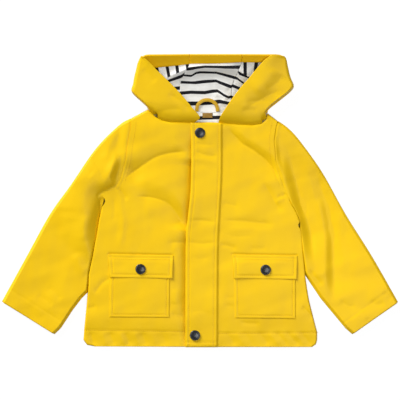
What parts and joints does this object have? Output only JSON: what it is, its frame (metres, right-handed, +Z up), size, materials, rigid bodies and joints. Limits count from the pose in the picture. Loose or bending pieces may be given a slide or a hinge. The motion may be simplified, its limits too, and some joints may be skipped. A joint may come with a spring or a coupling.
{
  "type": "kids raincoat",
  "caption": "Toddler's hooded rain coat laid flat on its back: coated cloth panels, storm flap with press studs, flapped patch pockets, striped jersey hood lining.",
  "frame": {"origin": "centre of the coat's bounding box in X and Y, on the surface that it lies on", "axes": "+X across the coat towards the wearer's left cuff, +Y from hem to hood, +Z up out of the front of the coat"},
  "size_m": [0.6352, 0.4688, 0.028],
  "materials": {
    "coated_cloth": "smooth polyurethane-coated woven cloth, satin",
    "lining_jersey": "matt cotton jersey, white with navy stripes",
    "label_tape": "matt woven tape, bare",
    "snap_metal": "dark lacquered press stud cap, satin"
  },
  "bodies": {
    "root": {"back": "coated_cloth", "front_right": "coated_cloth", "front_left": "coated_cloth", "storm_flap": "coated_cloth", "sleeve_right": "coated_cloth", "sleeve_left": "coated_cloth", "hood_right": "coated_cloth", "hood_centre": "coated_cloth", "hood_left": "coated_cloth", "hood_facing_right": "coated_cloth", "hood_facing_centre": "coated_cloth", "hood_facing_left": "coated_cloth", "pocket_right": "coated_cloth", "pocket_left": "coated_cloth", "pocket_flap_right": "coated_cloth", "pocket_flap_left": "coated_cloth", "hanger_loop": "coated_cloth", "hood_lining_right": "lining_jersey", "hood_lining_centre": "lining_jersey", "hood_lining_left": "lining_jersey", "neck_lining": "lining_jersey", "label": "label_tape", "snap_top": "snap_metal", "snap_bottom": "snap_metal", "snap_pocket_right": "snap_metal", "snap_pocket_left": "snap_metal"}
  },
  "joints": []
}
